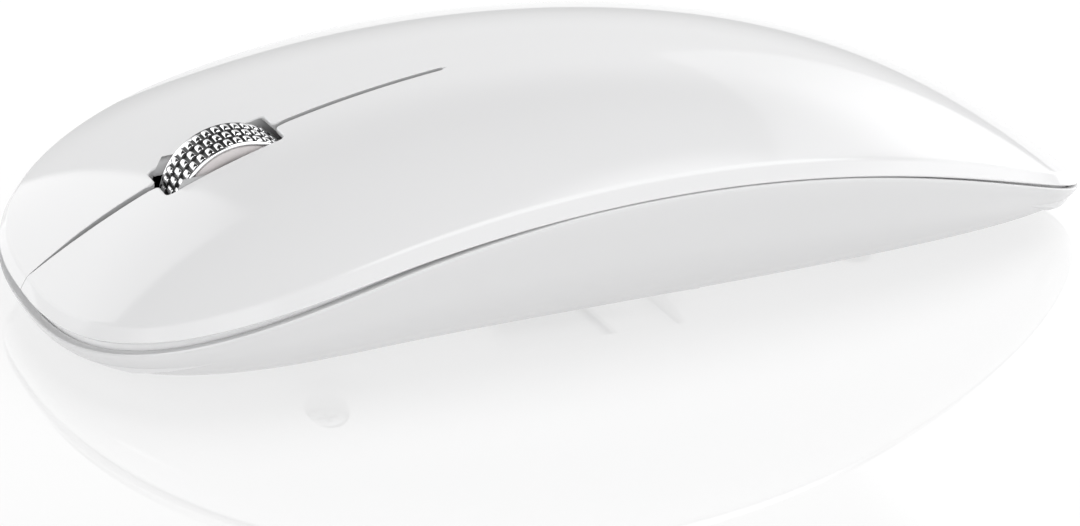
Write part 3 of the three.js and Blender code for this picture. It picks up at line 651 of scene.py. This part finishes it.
def belly_rings(angles, sweeps=40):
    """The shell's section: up the outside, over the rounded lip, down its step and back inside."""
    sweep = np.linspace(0, 1, sweeps) * math.pi / 2
    rings = [belly_point(angles, turn, 0.0) for turn in sweep[:-1]]
    top = belly_point(angles, math.pi / 2, 0.0)
    height = top[:, 2]

    def level(inset, z):
        x, y = outline(angles, inset)
        return np.stack([x, y, z], -1)

    inner = level(LIP_INSET, height)
    rings.append(top - np.array([0, 0, 0.22]))
    rings.append(top * 0.75 + inner * 0.25 - np.array([0, 0, 0.06]))
    rings.append(inner)
    step = np.minimum(LIP_DEPTH, (height - FOOT_STAND - SHELL_WALL) * 0.6)
    rings.append(level(LIP_WALL, height))
    rings.append(level(LIP_WALL, height - step))
    rings.append(level(SHELL_WALL, height - step - 0.3))
    return rings + [belly_point(angles, turn, SHELL_WALL) for turn in sweep[::-4][2:]]


def belly_additions():
    """The receiver's box and the screw posts."""
    wall = POCKET_WALL
    box = plate(POCKET_X0 - wall, POCKET_X1 + wall, POCKET_Y0 - wall, POCKET_Y1 + wall,
                2.1, POCKET_ROOF + wall, 0.3)
    posts = [drill(x, y, 2.7, foot, 9.3) for x, y, foot in CASE_SCREWS]
    return [box] + posts + [drill(x, y, 2.2, 1.9, 8.0) for x, y in BOARD_SCREWS]


def belly_openings():
    """Everything that is open: the battery door with its lugs, the receiver's pocket, the sensor's
    window, the switch's slot, the beds of the two feet, and the screws' wells and holes."""
    tools = [plate(DOOR_X0, DOOR_X1, DOOR_Y0, DOOR_Y1, BELOW, 7.5, 0.25)]
    tools += [plate(x0, x1, -17.6, -15.4, BELOW, 6.0, 0.1) for x0, x1 in DOOR_LUGS]
    tools += [
        plate(POCKET_X0, POCKET_X1, POCKET_Y0, POCKET_Y1, BELOW, POCKET_ROOF, 0.6),
        plate(-3.5, 3.5, -24.6, -16.6, BELOW, 6, 1.5),
        plate(9.2, 12.8, -34.6, -26.8, BELOW, 6, 0.8),
        plate(-7.3, 7.3, -44.9, -39.7, BELOW, 1.2, 1.2),
        plate(-4.3, 4.3, 36.7, 41.3, BELOW, 1.2, 1.2),
    ]
    well_tops, hole_feet = (5.0, 5.0, 3.6), (4.0, 4.0, 2.6)
    tools += [drill(x, y, 2.1, BELOW, top) for (x, y, _), top in zip(CASE_SCREWS, well_tops)]
    tools += [drill(x, y, 1.3, foot, 10.0) for (x, y, _), foot in zip(CASE_SCREWS, hole_feet)]
    return tools + [drill(x, y, 1.2, 2.8, 9.0) for x, y in BOARD_SCREWS]


def build_belly(name, material_used, spacing=0.809):
    """The lower casing: a bowl with a wall and a lip, then its box and posts, then its openings."""
    angles = evenly(lambda a: outline(a, 0), 0.0001, 2 * math.pi - 0.0001, spacing)[:-1]
    rings = belly_rings(angles)
    n, last = len(angles), len(rings) - 1
    verts = [(0, 0, FOOT_STAND)] + [p for ring in rings for p in ring] + [(0, 0, FOOT_STAND + SHELL_WALL)]

    def at(ring, i):
        return 1 + ring * n + i % n

    faces = []
    for i in range(n):
        faces.append((0, at(0, i + 1), at(0, i)))
        for r in range(last):
            faces.append((at(r, i), at(r, i + 1), at(r + 1, i + 1), at(r + 1, i)))
        faces.append((at(last, i), at(last, i + 1), len(verts) - 1))
    obj = new_object(name, verts, faces, material_used)
    recalc(obj)
    shape_with(obj, "UNION", belly_additions())
    shape_with(obj, "DIFFERENCE", belly_openings())
    shade(obj, 40)
    return obj


def prism(corners, z0, z1):
    """The points and faces of an upright prism, to add or cut with."""
    n = len(corners)
    verts = [(x, y, z0) for x, y in corners] + [(x, y, z1) for x, y in corners]
    faces = [tuple(range(n))[::-1], tuple(range(n, 2 * n))]
    faces += [(i, (i + 1) % n, n + (i + 1) % n, n + i) for i in range(n)]
    return verts, faces


def plate(x0, x1, y0, y1, z0, z1, corner):
    """An upright prism with rounded corners."""
    corners = []
    for cx, cy, start in ((x1, y1, 0), (x0, y1, 90), (x0, y0, 180), (x1, y0, 270)):
        for step in range(7):
            turn = math.radians(start + 15 * step)
            corners.append((
                cx + corner * (math.cos(turn) - math.copysign(1, cx - (x0 + x1) / 2)),
                cy + corner * (math.sin(turn) - math.copysign(1, cy - (y0 + y1) / 2)),
            ))
    return prism(corners, z0, z1)


def drill(x, y, radius, z0, z1, steps=40):
    """An upright round prism."""
    turns = [2 * math.pi * i / steps for i in range(steps)]
    return prism([(x + radius * math.cos(t), y + radius * math.sin(t)) for t in turns], z0, z1)


def shape_with(obj, operation, tools):
    """Adds or cuts these prisms, one after the other."""
    for verts, faces in tools:
        tool = new_object("tool", verts, faces, obj.data.materials[0])
        recalc(tool)
        change = obj.modifiers.new("change", "BOOLEAN")
        change.operation = operation
        change.solver = "EXACT"
        change.object = tool
        apply_modifiers(obj)
        bpy.data.meshes.remove(tool.data)


def build_mid_frame(material_used):
    """The chassis's rim, seen recessed in the groove below the cover."""
    angles = evenly(lambda a: outline(a, 0), 0.0001, 2 * math.pi - 0.0001, 0.8)[:-1]

    def top(y):
        return -0.05 - 0.05 * toward_nose(y)

    def bottom(y):
        return top(y) - 0.95 * toward_nose(y) - 1.3

    def corner(inset, level):
        x, y = outline(angles, inset)
        return np.stack([x, y, edge_z(y) + level(y)], -1)

    rings = [
        corner(1.1, lambda y: top(y) - 0.2),
        corner(1.2, top),
        corner(1.8, top),
        corner(1.8, bottom),
        corner(1.1, bottom),
    ]
    verts = [p for ring in rings for p in ring]
    obj = new_object("chassis_rim", verts, ring_faces(len(rings), len(angles)), material_used)
    recalc(obj)
    shade(obj, 35)
    return obj


# ---------------------------------------------------------------- wheel
BLOCKS, BLOCK_STEPS = 44, 16
BLOCK_ROWS = [(-2.66, -1.1), (-0.78, 0.78), (1.1, 2.66)]
BLOCK_CROWN = [(0.0, 6.86), (0.1, 6.96), (0.25, 7.02), (0.5, 7.07), (0.8, 7.095), (1.0, WHEEL_R)]
BLOCK_RISE = [0.0, 0.0, 0.6, 0.8, 0.9, 0.955, 0.985, 1.0]
TREAD_FLOOR, TYRE_BORE = 6.72, 6.52
TYRE_EDGE = [(-2.86, 6.6), (-2.93, 6.64), (-2.95, 6.7), (-2.9, 6.84), (-2.85, 6.92), (-2.8, 6.93),
             (-2.78, 6.9)]
HUB_SIDE = [(2.5, 6.5), (2.78, 6.49), (2.86, 6.44), (2.88, 6.3), (2.86, 5.6), (2.68, 5.1), (2.5, 4.7),
            (2.42, 4.0), (2.42, 2.6), (2.5, 2.3), (2.7, 2.1), (2.8, 1.95), (2.8, 1.1), (2.7, 0.98),
            (2.3, 0.98)]
SPRING_X, SPRING_FOOT, SPRING_HEIGHT = -6.9, 6.4, 3.2


def around_axle(rings):
    """Points on the wheel from rings of (x, [radius at each step around])."""
    verts = []
    for x, radii in rings:
        for i, r in enumerate(radii):
            turn = 2 * math.pi * i / len(radii)
            verts.append((x, WHEEL_Y + r * math.cos(turn), WHEEL_Z + r * math.sin(turn)))
    return verts


def build_tyre(material_used):
    """The tread ring: three staggered rows of small pillowed blocks between narrow smooth rims."""
    n = BLOCKS * BLOCK_STEPS
    section = [(x, r, None) for x, r in TYRE_EDGE]                   # (x, radius, row of blocks)
    for row, (a, b) in enumerate(BLOCK_ROWS):
        half = (b - a) / 2
        section += [(a - 0.02, TREAD_FLOOR, None)]
        section += [(a + half * share, r, row) for share, r in BLOCK_CROWN]
        section += [(b - half * share, r, row) for share, r in BLOCK_CROWN[-2::-1]]
        section += [(b + 0.02, TREAD_FLOOR, None)]
    section += [(-x, r, None) for x, r in TYRE_EDGE[::-1]]
    rings = []
    for x, radius, row in section:
        if row is None:
            rings.append((x, [radius] * n))
            continue
        shift = BLOCK_STEPS // 2 if row % 2 else 0
        steps = [(i + shift) % BLOCK_STEPS for i in range(n)]
        rise = [BLOCK_RISE[min(k, BLOCK_STEPS - 1 - k)] for k in steps]
        rings.append((x, [TREAD_FLOOR + (radius - TREAD_FLOOR) * share for share in rise]))
    rings += [(x, [TYRE_BORE] * n) for x in (2.7, -2.7)]
    verts = around_axle(rings)
    obj = new_object("tyre_tread", verts, ring_faces(len(rings), n), material_used)
    # The tread's floor between the blocks gets the near-black painted shade.
    obj.data.materials.append(TREAD_GAP_PAINTED_SHADE)
    for polygon in obj.data.polygons:
        radii = [math.hypot(verts[c][1] - WHEEL_Y, verts[c][2] - WHEEL_Z) for c in polygon.vertices]
        if abs(verts[polygon.vertices[0]][0]) < 2.76 and 6.55 < min(radii) < BLOCK_CROWN[0][1]:
            polygon.material_index = 1
    recalc(obj)
    shade(obj, 50)
    return obj


def build_hub(material_used):
    """The wheel's centre: a nearly flush rim, a shallow dished web and a boss on the axle."""
    n = 160
    rings = [(x, [r] * n) for x, r in HUB_SIDE + [(-x, r) for x, r in HUB_SIDE[::-1]]]
    obj = new_object("wheel_centre", around_axle(rings), ring_faces(len(rings), n), material_used)
    recalc(obj)
    shade(obj, 45)
    return obj


def build_spring(material_used, radius=1.1, turns=4, wire=0.2):
    """The coil under the wheel's axle."""
    around, steps = 10, turns * 28
    verts = []
    for i in range(steps + 1):
        turn = 2 * math.pi * turns * i / steps
        out = Vector((math.cos(turn), math.sin(turn), 0))
        upward = Vector((0, 0, 1))
        middle = Vector((SPRING_X, WHEEL_Y, SPRING_FOOT + SPRING_HEIGHT * i / steps)) + out * radius
        for k in range(around):
            a = 2 * math.pi * k / around
            verts.append(middle + out * wire * math.cos(a) + upward * wire * math.sin(a))
    faces = ring_faces(steps + 1, around)[:steps * around]
    faces += [tuple(range(around)), tuple(range(steps * around, (steps + 1) * around))]
    obj = new_object("axle_spring", verts, faces, material_used)
    recalc(obj)
    shade(obj, 50)
    return obj


# ---------------------------------------------------------------- put it together
left_flap, right_flap, palm = build_cover(GLOSS)
for flap, body, node in (
    (left_flap, "left_button", "left_button"),
    (right_flap, "right_button", "right_button"),
):
    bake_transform(flap)
    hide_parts(node)
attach(palm, "case")
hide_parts("palm_cover")

belly = build_belly("casing", SATIN)
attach(belly, "case")
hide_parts("lower_shell")

# The rim's brightened white is painted light against the shade in the groove.
rim = build_mid_frame(FRAME_WHITE_PAINTED_LIGHT)
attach(rim, "case")

tyre = build_tyre(CHROME)
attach(tyre, "wheel")
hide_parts("wheel_tyre")

hub = build_hub(HUB_GREY)
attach(hub, "wheel")
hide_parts("wheel_hub")

spring = build_spring(CAD_FINISHES["steel"])
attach(spring, "case")
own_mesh(spring)
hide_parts("wheel_spring")


# ---------------------------------------------------------------- stage, light and camera
def build_floor():
    """A wide glossy white table that glows a little, and is clear from below."""
    size = 6.0
    verts = [(-size, -size, 0), (size, -size, 0), (size, size, 0), (-size, size, 0)]
    mat = material("white_table", (0.24, 0.24, 0.24), 0.02, IOR=1.95)
    nodes, links = mat.node_tree.nodes, mat.node_tree.links
    shader = nodes["Principled BSDF"]
    shader.inputs["Emission Color"].default_value = (1, 1, 1, 1)
    shader.inputs["Emission Strength"].default_value = 0.6
    clear = nodes.new("ShaderNodeBsdfTransparent")
    pick = nodes.new("ShaderNodeMixShader")
    where = nodes.new("ShaderNodeNewGeometry")
    links.new(where.outputs["Backfacing"], pick.inputs[0])
    links.new(shader.outputs[0], pick.inputs[1])
    links.new(clear.outputs[0], pick.inputs[2])
    links.new(pick.outputs[0], nodes["Material Output"].inputs["Surface"])
    mat.cycles.emission_sampling = "NONE"
    obj = new_object("table", verts, [(0, 1, 2, 3)], mat, 1.0)


def direction(azimuth, elevation):
    """A unit vector; azimuth from +X towards +Y, in degrees."""
    a, e = math.radians(azimuth), math.radians(elevation)
    return Vector((math.cos(a) * math.cos(e), math.sin(a) * math.cos(e), math.sin(e)))


def build_world():
    """A studio whose walls are brightest on the near side, with two softboxes ahead of the nose,
    one behind the tail and one overhead."""
    world = bpy.data.worlds.new("studio")
    bpy.context.scene.world = world
    world.use_nodes = True
    nodes, links = world.node_tree.nodes, world.node_tree.links
    place = nodes.new("ShaderNodeTexCoord")

    def facing(axis):
        """Cosine of the angle between the direction looked in and this axis."""
        node = nodes.new("ShaderNodeVectorMath")
        node.operation = "DOT_PRODUCT"
        node.inputs[1].default_value = axis
        links.new(place.outputs["Generated"], node.inputs[0])
        return node.outputs["Value"]

    def smooth(source, start, stop, low, high):
        """Goes from low to high as the source goes from start to stop."""
        node = nodes.new("ShaderNodeMapRange")
        node.interpolation_type = "SMOOTHSTEP"
        for socket, value in zip(("From Min", "From Max", "To Min", "To Max"), (start, stop, low, high)):
            node.inputs[socket].default_value = value
        links.new(source, node.inputs["Value"])
        return node.outputs["Result"]

    def combine(operation, *values):
        """The product or sum of these values."""
        total = values[0]
        for value in values[1:]:
            node = nodes.new("ShaderNodeMath")
            node.operation = operation
            links.new(total, node.inputs[0])
            links.new(value, node.inputs[1])
            total = node.outputs[0]
        return total

    def side_of(normal, soft=0.012):
        """1 on this normal's side of a great circle, 0 on the other, with a soft edge."""
        return smooth(facing(Vector(normal).normalized()), -soft, soft, 0.0, 1.0)

    height = facing(Vector((0, 0, 1)))
    walls = combine(
        "MULTIPLY",
        smooth(facing(direction(24, 0)), -0.5, 0.7, 0.88, 2.0),
        smooth(height, 0.0, 0.22, 0.6, 1.0),
        smooth(height, 0.42, 0.6, 1.0, 0.04),
    )
    nose_box = combine(
        "MULTIPLY",
        side_of((0.087, -0.996, 0.0)),
        side_of((-0.622, 0.229, -0.749)),
        side_of((-0.819, 0.574, 0.0), 0.15),
        smooth(facing(direction(-158, 12)), 0.85, 0.91, 0.1, 1.0),
    )
    tail_box = combine(
        "MULTIPLY",
        side_of((0.129, 0.785, -0.605)),
        side_of((0.582, 0.465, 0.668)),
        side_of((-0.891, -0.454, 0.0), 0.06),
        smooth(facing(direction(110, 20)), 0.84, 1.0, 0.3, 1.3),
    )
    overhead = smooth(facing(direction(86, 68)), 0.84, 0.92, 0.0, 2.65)
    front_box = smooth(facing(direction(-80, 38)), 0.84, 0.95, 0.0, 1.35)
    total = combine("ADD", walls, nose_box, tail_box, overhead, front_box)
    back = nodes["Background"]
    links.new(total, back.inputs["Strength"])
    back.inputs["Color"].default_value = (1, 1, 1, 1)


def build_camera():
    """A long lens ahead of the near side, looking 20 degrees down at the mouse."""
    data = bpy.data.cameras.new("camera")
    data.sensor_width = 36.0
    data.lens = 106.53
    data.shift_x = -0.02646
    data.shift_y = -0.10961
    data.clip_start = 0.01
    camera = bpy.data.objects.new("camera", data)
    bpy.context.scene.collection.objects.link(camera)
    place = Vector((0.27114, -0.12419, 0.12114))
    right = Vector((0.41054, 0.91167, 0.01748))
    upward = Vector((-0.32016, 0.12617, 0.93892))
    backward = Vector((0.85379, -0.39106, 0.34368))
    turn = Matrix((right, upward, backward)).transposed()
    camera.matrix_world = Matrix.Translation(place) @ turn.to_4x4()
    bpy.context.scene.camera = camera
    bpy.context.scene.view_settings.view_transform = "Standard"


build_floor()
build_world()
build_camera()
